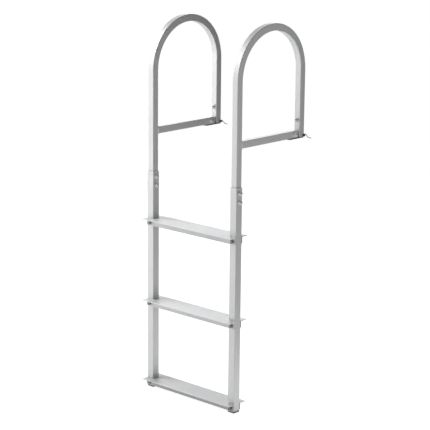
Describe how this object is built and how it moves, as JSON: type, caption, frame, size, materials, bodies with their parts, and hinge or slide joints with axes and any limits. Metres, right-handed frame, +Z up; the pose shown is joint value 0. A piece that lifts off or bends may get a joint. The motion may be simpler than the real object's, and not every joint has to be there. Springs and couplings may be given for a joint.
{
  "type": "dock ladder",
  "caption": "Aluminium dock ladder with bent square-tube handrails, flat notched treads and hinged feet that screw to a dock.",
  "frame": {"origin": "middle of the left deck plate's underside, on the surface of the dock", "axes": "+X from the left rail to the right rail, +Y from the water towards the dock, +Z up"},
  "size_m": [0.4635, 0.3933, 1.3671],
  "materials": {
    "rail_aluminium": "satin anodised",
    "leg_aluminium": "satin anodised",
    "tread_aluminium": "satin mill finish, grooved",
    "weld_aluminium": "rippled weld bead",
    "cast_aluminium": "fine cast",
    "plate_steel": "dull stainless",
    "pin_steel": "turned stainless",
    "cotter_steel": "drawn spring wire",
    "cap_plastic": "moulded"
  },
  "bodies": {
    "deck_plates": {"left_deck_plate": "plate_steel", "right_deck_plate": "plate_steel", "left_hinge_pin": "pin_steel", "right_hinge_pin": "pin_steel", "left_cotter": "cotter_steel", "right_cotter": "cotter_steel"},
    "ladder": {"left_hoop": "rail_aluminium", "right_hoop": "rail_aluminium", "left_lower_leg": "leg_aluminium", "right_lower_leg": "leg_aluminium", "left_deck_bar": "rail_aluminium", "right_deck_bar": "rail_aluminium", "left_bar_weld": "weld_aluminium", "right_bar_weld": "weld_aluminium", "left_foot_casting": "cast_aluminium", "right_foot_casting": "cast_aluminium", "left_leg_cap": "cap_plastic", "right_leg_cap": "cap_plastic", "top_tread": "tread_aluminium", "middle_tread": "tread_aluminium", "bottom_tread": "tread_aluminium"}
  },
  "joints": [
    {"name": "ladder_hinge", "type": "hinge", "parent": "deck_plates", "child": "ladder", "pos_m": [0.2, 0.039, 0.0085], "axis": [-1, 0, 0], "range_deg": [0, 90]}
  ]
}
